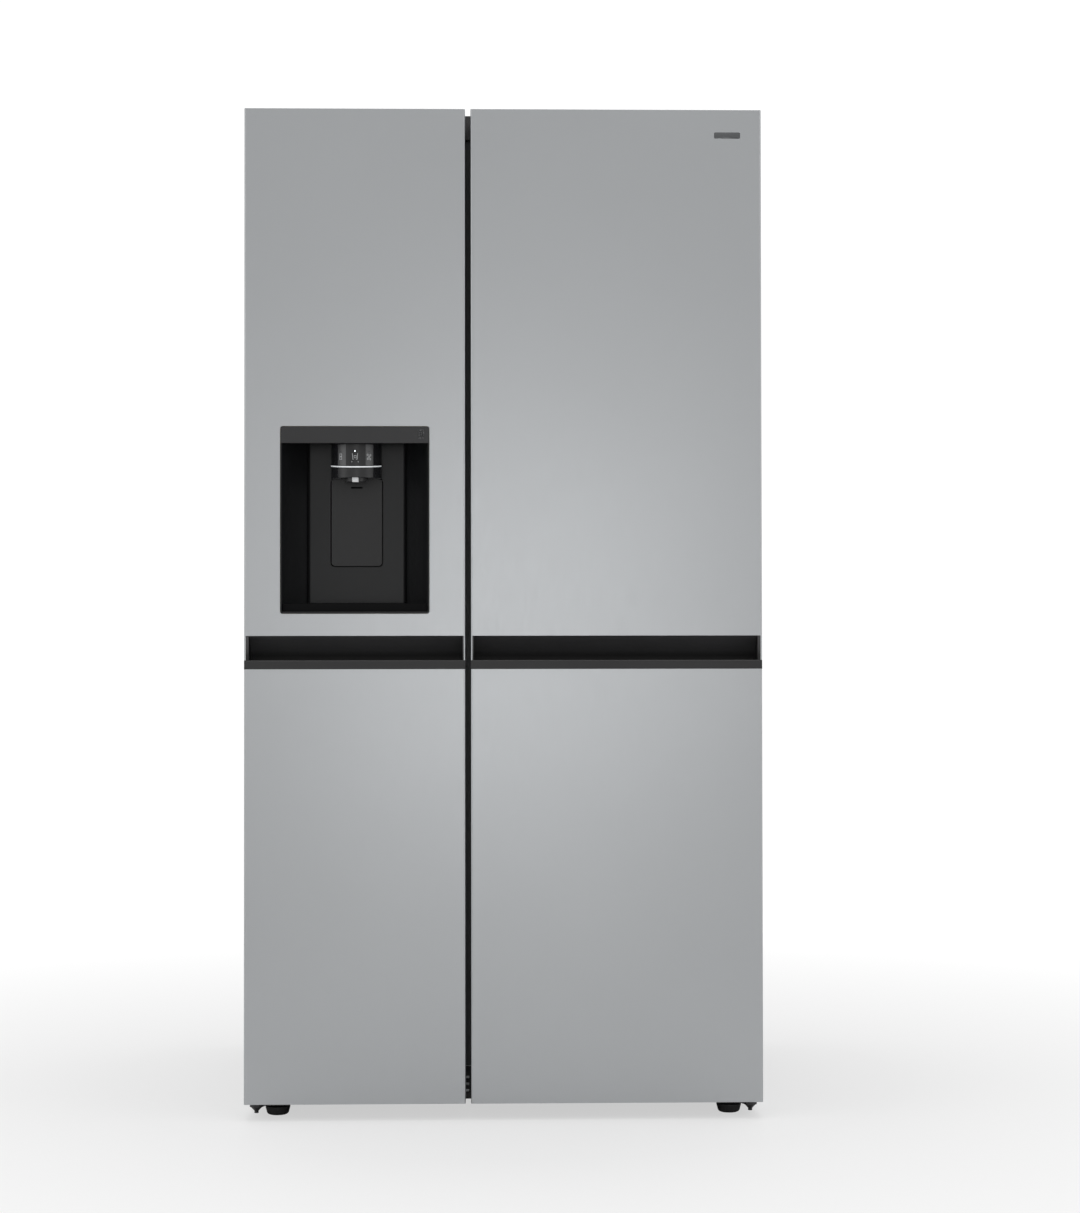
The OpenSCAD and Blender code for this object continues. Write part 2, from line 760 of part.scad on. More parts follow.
module door_panels(x) {
    // Upper panel: its sides run on past the hand pocket
    difference() {
        door_channel(x, [lip_top, door_top]);
        box([x[0] + panel_r, x[1] - panel_r], [front_y - 1, front_y + 3], [lip_top - 1, pocket_top]);
        box([x[0] - 1, x[1] + 1], [front_y + panel_ledge, door_back_y + 1], [cap_top, door_top + 1]);
    }
    // Lower panel: its sides run up behind the lip
    difference() {
        door_channel(x, [door_bottom, lip_top]);
        box([x[0] - 1, x[1] + 1], [front_y - 1, front_y + 13], [lip_bottom, lip_top + 1]);
    }
}

module freezer_door_panels() {
    color("silver")
    difference() {
        door_panels(freezer_door_x);
        surround(0.6, [front_y - 1, front_y + 3]);
    }
}

module fridge_door_panels() {
    color("silver")
    difference() {
        door_panels(fridge_door_x);
        // Shallow seat for a blank badge plate
        upright_plate(badge[0], badge[1], badge_w, badge_h, 2, [front_y - 1, front_y + 0.5]);
    }
}

module hinge_bosses(hx, r) {
    translate([hx, hinge_y, cap_top - 30]) cylinder(r = r, h = 30 - cap_t + 1);
    translate([hx, hinge_y, foam_z[0] - 1]) cylinder(r = r, h = 13);
}

module door_caps(x, hx) {
    difference() {
        union() {
            translate([0, 0, cap_top - cap_t]) linear_extrude(cap_t) inside_panel(x, door_back_y);
            translate([0, 0, door_bottom]) linear_extrude(low_cap_t) inside_panel(x, door_back_y);
            // Raised ledge behind the top edge of the panel
            translate([0, 0, cap_top - 1]) linear_extrude(door_top - cap_top)
                inside_panel(x, front_y + panel_ledge);
            hinge_bosses(hx, 10);
        }
        translate([hx, hinge_y, cap_top - 27]) cylinder(r = hinge_pin_r + run, h = 40);
        translate([hx, hinge_y, door_bottom - 1]) cylinder(r = hinge_pin_r + run, h = 22);
    }
}

module freezer_door_caps() {
    color("dimgray") door_caps(freezer_door_x, -hinge_x);
}

module fridge_door_caps() {
    color("dimgray") door_caps(fridge_door_x, hinge_x);
}

// The ridge round the inside of a door, inset by i
module dyke(x, i) {
    difference() {
        box([x[0] + i, x[1] - i], [door_back_y - liner_t, dyke_y - i], [dyke_z[0] + i, dyke_z[1] - i]);
        box([x[0] + dyke_w - i, x[1] - dyke_w + i], [door_back_y - 10, dyke_y + 1],
            [dyke_z[0] + dyke_w - i, dyke_z[1] - dyke_w + i]);
    }
}

// The box behind the dispenser and the ice chute above it, inset by i
module dispenser_bulge(i) {
    y = door_back_y - liner_t;
    box([disp_x - 113 + i, disp_x + 113 - i], [y, bulge_y - i], [872 + i, 1246 - i]);
    box([disp_x - 60 + i, disp_x + 60 - i], [y, chute_bulge_y - i], [1190 + i, chute_top - i]);
}

// The sloping line of the ice chute
module chute(r, from, to) {
    translate([disp_x, front_y + 58, 1196]) rotate([-chute_lean, 0, 0])
        translate([0, 0, from]) cylinder(r = r, h = to - from);
}

// Space taken by the dispenser housing in the door
module dispenser_room() {
    box(surround_x, [front_y - 1, front_y + disp_depth + disp_wall], surround_z);
    box(paddle_room_x, [front_y, paddle_room_y], paddle_room_z);
}

module door_foam(x, dyke_x) {
    difference() {
        union() {
            translate([0, 0, foam_z[0]]) linear_extrude(foam_z[1] - foam_z[0])
                inside_panel(x, door_back_y - liner_t);
            dyke(dyke_x, liner_t);
        }
        along_x([x[0] + panel_r, x[1] - panel_r]) pocket_2d(2.5);
        box([x[0] - 1, x[1] + 1], [front_y, front_y + 13], [lip_bottom, lip_top]);
        // The pocket opens through the foam's face
        box([x[0] + panel_r, x[1] - panel_r], [front_y, front_y + 3], [lip_top - 1, pocket_top]);
    }
}

module freezer_door_foam() {
    color("khaki")
    difference() {
        union() {
            door_foam(freezer_door_x, freezer_dyke_x);
            dispenser_bulge(liner_t);
        }
        dispenser_room();
        chute(chute_r + 2, 0, 240);
        hinge_bosses(-hinge_x, 10);
    }
}

module fridge_door_foam() {
    color("khaki")
    difference() {
        door_foam(fridge_door_x, fridge_dyke_x);
        hinge_bosses(hinge_x, 10);
    }
}

module door_liner_slab(x) {
    box([x[0] + sheet, x[1] - sheet], [door_back_y - liner_t, door_back_y], foam_z);
}

module freezer_door_liner() {
    color("white")
    difference() {
        union() {
            door_liner_slab(freezer_door_x);
            dyke(freezer_dyke_x, 0);
            dispenser_bulge(0);
        }
        dyke(freezer_dyke_x, liner_t);
        dispenser_bulge(liner_t);
        chute(chute_r + 2, 0, 240);
        dispenser_room();
    }
}

module fridge_door_liner() {
    color("white")
    difference() {
        union() {
            door_liner_slab(fridge_door_x);
            dyke(fridge_dyke_x, 0);
        }
        dyke(fridge_dyke_x, liner_t);
    }
}

module door_gasket(x) {
    w = 14;
    y = [door_back_y, case_front_y - 0.3];
    difference() {
        box(x, y, [98, 1710]);
        box([x[0] + w, x[1] - w], [y[0] - 1, y[1] + 1], [98 + w, 1710 - w]);
    }
}

module freezer_door_gasket() {
    color("gray") door_gasket([-hinge_x + 1, freezer_x[1] + 16]);
}

module fridge_door_gasket() {
    color("gray") door_gasket([fridge_x[0] - 16, hinge_x - 1]);
}

module freezer_door_handle() {
    color("black") door_handle(freezer_door_x, 8, 5);
}

module fridge_door_handle() {
    color("black") door_handle(fridge_door_x, 5, 8);
}

// ---------------------------------------------------------------- dispenser

// Plan of the recess, front to back, with its sides moved in by inset
module recess_plan(inset) {
    half = dispenser_w / 2 - disp_wall - inset;
    // Each side: how far in, how far back
    side = [[0, -2], [0, 6], [6, 26], [15, 46], [27, 62], [41, 76], [41, disp_depth]];
    last = len(side) - 1;
    polygon(concat(
        [for (p = side) [-half + p[0], p[1]]],
        [for (i = [last:-1:0]) [half - side[i][0], side[i][1]]]));
}

// The outline of the surround in the door's face
module surround(grow, y) {
    upright_plate(disp_x, (dispenser_top + dispenser_bottom) / 2, dispenser_w + grow,
        dispenser_top - dispenser_bottom + grow, 5, y);
}

// The pin of the paddle, or its bore
module paddle_pin(r, half) {
    translate([disp_x - half, paddle_axis_y, paddle_axis_z])
        rotate([0, 90, 0]) cylinder(r = r, h = 2 * half, $fn = 24);
}

module dispenser_housing() {
    tall = dispenser_top - dispenser_bottom;
    inner_y = front_y + disp_depth;
    color("black")
    difference() {
        union() {
            difference() {
                union() {
                    surround(0, [front_y, front_y + 12]);
                    box(surround_x, [front_y + 6, inner_y + disp_wall], surround_z);
                }
                // The box has square corners only behind the panel
                translate([disp_x, front_y, dispenser_bottom + 3.5])
                    linear_extrude(tall - 3.5 - disp_wall) recess_plan(0);
                // Seat of the fascia
                box([surround_x[0] - 1, surround_x[1] + 1], [front_y - 1, front_y + 6],
                    [fascia_bottom, dispenser_top + 1]);
            }
            // Raised back panel with rounded edges
            translate([disp_x, 0, bump_bottom]) linear_extrude(dispenser_top - disp_wall - bump_bottom)
                front_rounded([-bump_w / 2, bump_w / 2], [bump_y, inner_y + 1], 6);
            // Pocket that the paddle swings into
            box(paddle_room_x, [inner_y, paddle_room_y], paddle_room_z);
            // Ice chute
            intersection() {
                chute(chute_r + 2, 0, 240);
                box([disp_x - 60, disp_x + 60], [front_y, 0], [dispenser_top, chute_top]);
            }
        }
        upright_plate(disp_x, paddle_top - paddle_h / 2, paddle_w + 4, paddle_h + 4, 8,
            [bump_y - 1, paddle_room_y - 2.5]);
        paddle_pin(3 + run, 54);
        chute(chute_r, 0, 240);
    }
}

module dispenser_fascia() {
    color("dimgray")
    intersection() {
        surround(0, [front_y, front_y + 6]);
        box([surround_x[0] - 1, surround_x[1] + 1], [front_y - 1, front_y + 6],
            [fascia_bottom + 0.3, dispenser_top + 1]);
    }
}

module dispenser_head() {
    color("dimgray")
    difference() {
        union() {
            translate([disp_x, head_y, head_bottom])
                cylinder(r = head_r - 1, h = dispenser_top - disp_wall - head_bottom, $fn = 96);
            // Bead that carries the bright ring
            translate([disp_x, head_y, head_bottom + 23.6]) rotate([6.3, 0, 0])
                translate([0, 0, -1.8]) cylinder(r = head_r, h = 3.6, $fn = 96);
        }
        box([disp_x - 60, disp_x + 60], [bump_y - 0.2, front_y + 120], [1100, 1230]);
        // Room for the top of the paddle
        box([disp_x - 60, disp_x + 60], [bump_y - 3, front_y + 120], [1100, paddle_top + 2]);
        chute(chute_r, -16, 240);
        translate([disp_x, head_y - 14, head_bottom - 1]) cylinder(r = 17, h = 46);
    }
}

module dispenser_nozzle() {
    color("whitesmoke") {
        difference() {
            translate([disp_x, head_y - 14, head_bottom - 6]) cylinder(r = 20, h = 6);
            translate([disp_x, head_y - 14, head_bottom - 7]) cylinder(r = 17, h = 8);
        }
        difference() {
            box([disp_x - 5.5, disp_x + 5.5], [head_y - 43, head_y - 34.5], [head_bottom - 8, head_bottom]);
            translate([disp_x, head_y - 39, head_bottom - 9]) cylinder(r = 2.5, h = 20, $fn = 24);
        }
    }
}

module dispenser_paddle() {
    color("black") {
        difference() {
            upright_plate(disp_x, paddle_top - paddle_h / 2, paddle_w, paddle_h, 7,
                [bump_y - 1, bump_y + 4]);
            box([disp_x - 10, disp_x + 10], [bump_y - 2, bump_y], [paddle_top - 17, paddle_top - 15]);
        }
        paddle_pin(3, 53);
    }
}

module drip_tray() {
    y = [front_y + 7, bump_y - 1.5];
    z = [dispenser_bottom + 4, dispenser_bottom + 18];
    slots = 28;
    pitch = 8;
    color("black")
    difference() {
        translate([disp_x, front_y, z[0]]) linear_extrude(z[1] - z[0])
            intersection() {
                recess_plan(1.2);
                translate([-dispenser_w / 2, 7]) square([dispenser_w, bump_y - front_y - 8.5]);
            }
        for (i = [0:slots - 1])
            translate([disp_x + (i - slots / 2) * pitch + 1.75, 0, 0])
                box([0, 4.5], [y[0] + 5, y[1] - 5], [z[1] - 9, z[1] + 1]);
    }
}

// ---------------------------------------------------------------- rollers and feet

module rollers(i) {
    color("dimgray")
    both_sides()
        difference() {
            translate([rail_in[1] + 1, roller_y[i], roller_z[i]])
                rotate([0, 90, 0]) cylinder(r = roller_r, h = 22);
            translate([rail_in[1], roller_y[i], roller_z[i]])
                rotate([0, 90, 0]) cylinder(r = axle_r + run, h = 30);
        }
}

module front_rollers() { rollers(0); }

module rear_rollers() { rollers(1); }

// Cup-shaped levelling foot on its threaded stem
module leveling_foot(side) {
    color("black")
    translate([side * foot_x, foot_y, 0]) {
        rotate_extrude($fn = 64)
            polygon(concat([[0, 0]], [for (a = [-90:15:0]) [14 + 6 * cos(a), 6 + 6 * sin(a)]],
                [[22, 13], [22, 15], [0, 15]]));
        cylinder(r = foot_stem_r, h = 26.5);
    }
}

module leveling_foot_left() { leveling_foot(-1); }

module leveling_foot_right() { leveling_foot(1); }

// ---------------------------------------------------------------- one node at a time

case_shell();
back_panel();
cabinet_foam();
freezer_liner();
fridge_liner();
front_flange();
base_frame();
top_hinge_cover();
upper_hinges();
lower_hinges();
toe_grille();
compressor();
condenser_coil();
condenser_fan_motor();
drain_pan();
machine_cover();
evaporator_coil();
freezer_air_duct();
fridge_air_duct();
freezer_shelves();
fridge_shelves();
ice_maker();
filter_housing();
water_valve();
power_gland();
front_rollers();
rear_rollers();
leveling_foot_left();
leveling_foot_right();
condenser_fan();
evaporator_fan();
freezer_drawer_upper();
freezer_drawer_lower();
deli_drawer();
crisper_upper();
crisper_lower();
ice_bucket();
ice_auger();
water_filter();
freezer_door_panels();
freezer_door_foam();
freezer_door_liner();
freezer_door_gasket();
freezer_door_handle();
freezer_door_caps();
freezer_door_bins();
dispenser_housing();
dispenser_fascia();
dispenser_head();
dispenser_nozzle();
dispenser_paddle();
drip_tray();
fridge_door_panels();
fridge_door_foam();
fridge_door_liner();
fridge_door_gasket();
fridge_door_handle();
fridge_door_caps();
fridge_door_bins();
dairy_cover();
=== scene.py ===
"""Looks of the side by side refrigerator: materials, soft edges, small fittings, floor, light, camera."""
import math

import bpy
from mathutils import Matrix, Vector


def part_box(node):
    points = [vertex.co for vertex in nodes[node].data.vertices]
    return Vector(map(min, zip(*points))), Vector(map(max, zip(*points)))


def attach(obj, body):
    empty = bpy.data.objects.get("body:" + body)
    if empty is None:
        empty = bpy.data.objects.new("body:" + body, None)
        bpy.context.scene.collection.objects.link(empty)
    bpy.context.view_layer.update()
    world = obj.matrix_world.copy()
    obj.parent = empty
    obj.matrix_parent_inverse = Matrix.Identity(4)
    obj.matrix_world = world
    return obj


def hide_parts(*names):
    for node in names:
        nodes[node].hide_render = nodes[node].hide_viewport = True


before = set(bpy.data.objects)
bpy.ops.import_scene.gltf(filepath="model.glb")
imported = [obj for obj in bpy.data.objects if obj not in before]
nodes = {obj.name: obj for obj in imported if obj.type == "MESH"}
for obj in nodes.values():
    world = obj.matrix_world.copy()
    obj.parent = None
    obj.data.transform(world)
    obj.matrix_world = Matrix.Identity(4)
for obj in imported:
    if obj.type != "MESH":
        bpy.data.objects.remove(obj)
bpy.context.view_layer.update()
MM = 0.001  # the helpers below take millimetres
CAVITY_TOP = 1690.0  # ceiling of both compartments
SHARP = math.radians(32)  # edges steeper than this stay sharp and are softened by a bevel


# ---------------------------------------------------------------- materials

def new_material(name):
    """An empty node material and its Principled shader."""
    material = bpy.data.materials.new(name)
    material.use_nodes = True
    tree = material.node_tree
    return material, tree, tree.nodes["Principled BSDF"]


def noise(tree, scale, detail=3.0, stretch=(1, 1, 1), roughness=0.5):
    """Noise over the object's own coordinates, in cycles per metre, stretched per axis."""
    coords = tree.nodes.new("ShaderNodeTexCoord")
    mapping = tree.nodes.new("ShaderNodeMapping")
    mapping.inputs["Scale"].default_value = stretch
    texture = tree.nodes.new("ShaderNodeTexNoise")
    texture.inputs["Scale"].default_value = scale
    texture.inputs["Detail"].default_value = detail
    texture.inputs["Roughness"].default_value = roughness
    tree.links.new(coords.outputs["Object"], mapping.inputs["Vector"])
    tree.links.new(mapping.outputs["Vector"], texture.inputs["Vector"])
    return texture.outputs["Fac"]


def remap(tree, value, low, high):
    """Spreads the middle of a noise over low to high."""
    node = tree.nodes.new("ShaderNodeMapRange")
    node.inputs["From Min"].default_value = 0.3
    node.inputs["From Max"].default_value = 0.7
    node.inputs["To Min"].default_value = low
    node.inputs["To Max"].default_value = high
    tree.links.new(value, node.inputs["Value"])
    return node.outputs["Result"]


def tint(tree, value, colour, spread):
    """The colour, lighter and darker by spread as value changes."""
    mix = tree.nodes.new("ShaderNodeMix")
    mix.data_type = "RGBA"
    mix.inputs["A"].default_value = [max(0.0, c * (1 - spread)) for c in colour] + [1]
    mix.inputs["B"].default_value = [min(1.0, c * (1 + spread)) for c in colour] + [1]
    tree.links.new(value, mix.inputs["Factor"])
    return mix.outputs["Result"]


def bump(tree, value, shader, strength, distance):
    """Relief from a value, its depth in metres."""
    node = tree.nodes.new("ShaderNodeBump")
    node.inputs["Strength"].default_value = strength
    node.inputs["Distance"].default_value = distance
    tree.links.new(value, node.inputs["Height"])
    tree.links.new(node.outputs["Normal"], shader.inputs["Normal"])


def finish(name, colour, rough, rough_spread=0.05, metal=0.0, spread=0.06, cloud=6.0, grain=900.0,
           stretch=(1, 1, 1), relief=0.05, depth=0.0002, **sockets):
    """A surface with slow colour clouds, a fine grain in its gloss and a matching relief."""
    material, tree, shader = new_material(name)
    clouds = noise(tree, cloud, 4.0)
    fine = noise(tree, grain, 2.0, stretch)
    tree.links.new(tint(tree, remap(tree, clouds, 0, 1), colour, spread), shader.inputs["Base Color"])
    tree.links.new(remap(tree, fine, rough - rough_spread, rough + rough_spread), shader.inputs["Roughness"])
    bump(tree, fine, shader, relief, depth)
    shader.inputs["Metallic"].default_value = metal
    for socket, value in sockets.items():
        shader.inputs[socket.replace("_", " ")].default_value = value
    return material


def paint_shade_by_height(material, stops):
    """Painted shade and light: multiplies the colour by a factor that follows the height above the floor, in
    metres.
    """
    tree = material.node_tree
    shader = tree.nodes["Principled BSDF"]
    source = shader.inputs["Base Color"].links[0].from_socket
    coords = tree.nodes.new("ShaderNodeTexCoord")
    split = tree.nodes.new("ShaderNodeSeparateXYZ")
    curve = tree.nodes.new("ShaderNodeValToRGB")
    low, high = stops[0][0], stops[-1][0]
    reach = tree.nodes.new("ShaderNodeMapRange")
    reach.inputs["From Min"].default_value = low
    reach.inputs["From Max"].default_value = high
    tree.links.new(coords.outputs["Object"], split.inputs["Vector"])
    tree.links.new(split.outputs["Z"], reach.inputs["Value"])
    tree.links.new(reach.outputs["Result"], curve.inputs["Fac"])
    for i, (level, factor) in enumerate(stops):
        place = (level - low) / (high - low)
        stop = curve.color_ramp.elements[i] if i < 2 else curve.color_ramp.elements.new(place)
        stop.position = place
        stop.color = (factor, factor, factor, 1)
    mix = tree.nodes.new("ShaderNodeMix")
    mix.data_type = "RGBA"
    mix.blend_type = "MULTIPLY"
    mix.inputs["Factor"].default_value = 1.0
    tree.links.new(source, mix.inputs["A"])
    tree.links.new(curve.outputs["Color"], mix.inputs["B"])
    tree.links.new(mix.outputs["Result"], shader.inputs["Base Color"])


def clear(name, colour, rough, transmission, spread=0.05, **sockets):
    """A see-through finish; transmission is the share of light that passes."""
    material = finish(name, colour, rough, 0.03, spread=spread, relief=0.02, **sockets)
    shader = material.node_tree.nodes["Principled BSDF"]
    shader.inputs["Transmission Weight"].default_value = transmission
    return material


STEEL = finish("satin_steel", (0.530, 0.545, 0.558), 0.36, 0.035, metal=1.0, spread=0.012, cloud=3.0,
               grain=1500.0, stretch=(1, 1, 0.012), relief=0.035, depth=0.00006)
CASE = finish("case_paint", (0.085, 0.088, 0.092), 0.42, 0.05, spread=0.05, grain=1400.0, relief=0.25,
              depth=0.00012)
ZINC = finish("zinc_sheet", (0.50, 0.51, 0.52), 0.42, 0.08, metal=1.0, spread=0.06, cloud=60.0, grain=160.0,
              relief=0.05)
FOAM = finish("foam", (0.80, 0.71, 0.48), 0.85, 0.08, spread=0.12, cloud=30.0, grain=420.0, relief=0.6,
              depth=0.0008)
LINER = finish("liner_white", (0.83, 0.84, 0.85), 0.24, 0.05, spread=0.015, grain=700.0, relief=0.06,
               Coat_Weight=0.3, Coat_Roughness=0.12)
RECESS = finish("recess_black", (0.0088, 0.0093, 0.0100), 0.34, 0.05, spread=0.12, grain=1600.0, relief=0.10,
                Specular_IOR_Level=0.36)
PADDLE = finish("paddle_black", (0.0135, 0.0135, 0.0140), 0.42, 0.05, spread=0.10, grain=1800.0, relief=0.14)
HEAD = finish("head_gloss", (0.016, 0.016, 0.018), 0.12, 0.02, spread=0.10, grain=500.0, relief=0.02)
FASCIA = finish("fascia_satin", (0.023, 0.023, 0.024), 0.36, 0.04, spread=0.08, grain=1800.0, relief=0.10)
HANDLE = finish("handle_charcoal_and_painted_shade", (0.020, 0.020, 0.0207), 0.46, 0.05, spread=0.10, grain=1500.0, relief=0.16)
# Painted shade and light: the pocket is painted dark just above its lip and lighter towards its roof, in
# place of the shade inside it.
paint_shade_by_height(HANDLE, [(0.8060, 1.0), (0.8085, 0.05), (0.8150, 0.15), (0.8240, 1.6), (0.8360, 2.4),
                    (0.8480, 3.0)])
DARK = finish("dark_plastic", (0.045, 0.045, 0.047), 0.50, 0.06, spread=0.10, grain=1200.0, relief=0.25)
BLACK = finish("black_plastic", (0.018, 0.018, 0.019), 0.48, 0.06, spread=0.12, grain=1200.0, relief=0.22)
WHITE = finish("white_plastic", (0.78, 0.79, 0.80), 0.40, 0.06, spread=0.03, grain=1100.0, relief=0.12)
# The drip tray's black plastic is darkened to near-black with little gloss: its own colour plus painted shade
# under the head.
TRAY_AND_SHADE = finish("tray_black_and_painted_shade", (0.0040, 0.0041, 0.0044), 0.50, 0.05, spread=0.12, grain=1500.0, relief=0.15,
              Specular_IOR_Level=0.08)
# Painted shadow: a near-black patch without gloss that stands in for the depth of the paddle's slit.
SHADOW = finish("slit_painted_shadow", (0.0015, 0.0015, 0.0016), 0.80, 0.05, spread=0.12, Specular_IOR_Level=0.0)
PLATE = finish("badge_plate", (0.16, 0.165, 0.17), 0.30, 0.04, metal=1.0, spread=0.04, grain=1500.0,
               stretch=(0.02, 1, 1))
# Painted shade: a darker, less glossy copy of the handle charcoal for the pocket's end walls.
HANDLE_END_SHADE = finish("handle_end_painted_shade", (0.012, 0.012, 0.0125), 0.50, 0.05, spread=0.10, grain=1500.0, relief=0.16,
                    Specular_IOR_Level=0.3)
TRIM = finish("trim_silver", (0.60, 0.61, 0.62), 0.30, 0.05, metal=1.0, spread=0.03, grain=1500.0,
              stretch=(0.02, 1, 1), relief=0.05)
VINYL = finish("gasket_vinyl", (0.30, 0.31, 0.32), 0.62, 0.05, spread=0.08, grain=800.0, relief=0.18)
LAMP = finish("lamp_glow", (0.95, 0.97, 1.0), 0.5, 0.04, Emission_Color=(0.93, 0.97, 1.0, 1.0),
              Emission_Strength=14.0)
# The ring is white plastic with a faint painted glow: it is no lamp, the emission only lifts its brightness.
RING_PAINTED_GLOW = finish("ring_white_painted_glow", (0.88, 0.89, 0.90), 0.22, 0.03, spread=0.02, Emission_Color=(0.9, 0.95, 1.0, 1.0),
              Emission_Strength=0.25)
# Touch key grey, lighter than the fascia: partly the keys' own grey, partly a painted reflection of the side
# lights on the glossy head.
TOUCH_AND_SHEEN = finish("touch_grey_and_painted_reflection", (0.105, 0.106, 0.108), 0.30, 0.04, spread=0.06, grain=1600.0, relief=0.05)
COLLAR = finish("collar_grey", (0.055, 0.055, 0.056), 0.40, 0.05, spread=0.10)
ENAMEL = finish("black_enamel", (0.012, 0.012, 0.013), 0.28, 0.06, spread=0.2, grain=260.0, relief=0.12,
                Coat_Weight=0.3)
ALUMINIUM = finish("bare_aluminium", (0.66, 0.67, 0.68), 0.34, 0.08, metal=1.0, spread=0.08, grain=700.0,
                   relief=0.08)
NYLON = finish("roller_nylon", (0.16, 0.16, 0.165), 0.45, 0.06, spread=0.15, grain=500.0, relief=0.15)
RUBBER = finish("foot_black", (0.020, 0.020, 0.020), 0.58, 0.06, spread=0.2, grain=700.0, relief=0.25)
GLASS = clear("shelf_glass", (0.90, 0.98, 0.97), 0.05, 0.94, spread=0.01, IOR=1.30)
BIN = clear("bin_clear", (0.965, 0.985, 1.0), 0.08, 0.93, spread=0.01, IOR=1.18)
FROST = clear("frost_lens", (0.95, 0.97, 1.0), 0.45, 0.55, IOR=1.4)
ICON = finish("icon_grey", (0.52, 0.53, 0.54), 0.5, 0.04, spread=0.05)
LIT = finish("icon_lit", (0.9, 0.93, 0.95), 0.5, 0.04, Emission_Color=(0.9, 0.95, 1.0, 1.0),
             Emission_Strength=1.6)


# ---------------------------------------------------------------- CAD nodes: edge softening and finish

WELD_REACH = 0.00001  # metres between corners that are one corner
FLAT_ENOUGH = math.radians(0.5)  # faces this close to level with each other join into one
FLAT_FACE_WEIGHT = 60  # how much large flat faces decide the shading


def soften(piece, width, segments=2):
    """A bevel along the sharp edges, its width in millimetres."""
    edge = piece.modifiers.new("edge", "BEVEL")
    edge.width = width * MM
    edge.segments = segments
    edge.limit_method = "ANGLE"
    edge.angle_limit = SHARP
    return edge


def dress(material, names, bevel=0.4, segments=2):
    """Gives CAD nodes a finish and small round edges; the meshes themselves stay as they are."""
    for name in names.split():
        piece = nodes[name]
        piece.data.materials.clear()
        piece.data.materials.append(material)
        piece.data.polygons.foreach_set("material_index", [0] * len(piece.data.polygons))
        piece.data.shade_smooth()
        piece.data.set_sharp_from_angle(angle=SHARP)
        weld = piece.modifiers.new("weld", "WELD")
        weld.merge_threshold = WELD_REACH
        flat = piece.modifiers.new("flat", "DECIMATE")
        flat.decimate_type = "DISSOLVE"
        flat.angle_limit = FLAT_ENOUGH
        edge = soften(piece, bevel, segments)
        edge.use_clamp_overlap = True
        even = piece.modifiers.new("even", "WEIGHTED_NORMAL")
        even.weight = FLAT_FACE_WEIGHT
        even.keep_sharp = False


dress(STEEL, "freezer_door_panels fridge_door_panels", 0.35)
dress(CASE, "case_shell front_flange", 0.3)
dress(ZINC, "back_panel base_frame upper_hinges machine_cover", 0.3)
dress(ENAMEL, "lower_hinges", 0.4)
dress(FOAM, "cabinet_foam freezer_door_foam fridge_door_foam", 0.5, 1)
dress(LINER, "freezer_liner fridge_liner freezer_door_liner fridge_door_liner", 1.6, 3)
dress(LINER, "freezer_air_duct fridge_air_duct filter_housing water_filter", 1.0, 3)
dress(RECESS, "dispenser_housing", 0.5)
dress(PADDLE, "dispenser_paddle", 0.5)
dress(TRAY_AND_SHADE, "drip_tray", 0.4)
dress(FASCIA, "dispenser_fascia", 0.5)
dress(HEAD, "dispenser_head", 0.5)
dress(HANDLE, "freezer_door_handle fridge_door_handle", 0.5)
dress(DARK, "top_hinge_cover freezer_door_caps fridge_door_caps", 0.7)
dress(BLACK, "toe_grille power_gland condenser_fan_motor", 0.5)
dress(WHITE, "ice_maker dispenser_nozzle water_valve condenser_fan evaporator_fan drain_pan", 0.5)
dress(BIN, "freezer_drawer_upper freezer_drawer_lower deli_drawer crisper_upper crisper_lower", 0.9)
dress(BIN, "ice_bucket freezer_door_bins fridge_door_bins dairy_cover", 0.7)
dress(GLASS, "freezer_shelves fridge_shelves", 0.6)
dress(VINYL, "freezer_door_gasket fridge_door_gasket", 0.8)
dress(ENAMEL, "compressor condenser_coil", 0.3)
dress(ALUMINIUM, "evaporator_coil ice_auger", 0.2, 1)
dress(NYLON, "front_rollers rear_rollers", 0.8)
dress(RUBBER, "leveling_foot_left leveling_foot_right", 0.5)


def accent(name, material, test):
    """A second finish on the faces of a node that pass the test of middle (millimetres) and normal."""
    mesh = nodes[name].data
    mesh.materials.append(material)
    slot = len(mesh.materials) - 1
    for face in mesh.polygons:
        if test(face.center / MM, face.normal):
            face.material_index = slot


WATER_TUBE = 9.5  # how far the white water tube reaches back; the grey ice collar is behind it
FACING_SIDEWAYS = 0.7  # the pocket's end walls
collar_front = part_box("dispenser_nozzle")[0][1] / MM + WATER_TUBE
accent("dispenser_nozzle", COLLAR, lambda middle, normal: middle.y > collar_front)
# The faces that face sideways, the pocket's end walls, take the painted shade copy of the charcoal.
for handle in ("freezer_door_handle", "fridge_door_handle"):
    accent(handle, HANDLE_END_SHADE, lambda middle, normal: abs(normal.x) > FACING_SIDEWAYS)


# ---------------------------------------------------------------- mesh helpers

def piece(name, points, faces, material, body, slot, smooth=True, bevel=0.0):
    """A mesh in the shared frame, points in metres, that rides on a CAD body."""
    mesh = bpy.data.meshes.new(name)
    mesh.from_pydata([Vector(p) for p in points], [], faces)
    mesh.validate()
    mesh.materials.append(material)
    if smooth:
        mesh.shade_smooth()
    made = bpy.data.objects.new(name, mesh)
    bpy.context.scene.collection.objects.link(made)
    if bevel:
        soften(made, bevel).harden_normals = True
    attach(made, body)
    return made


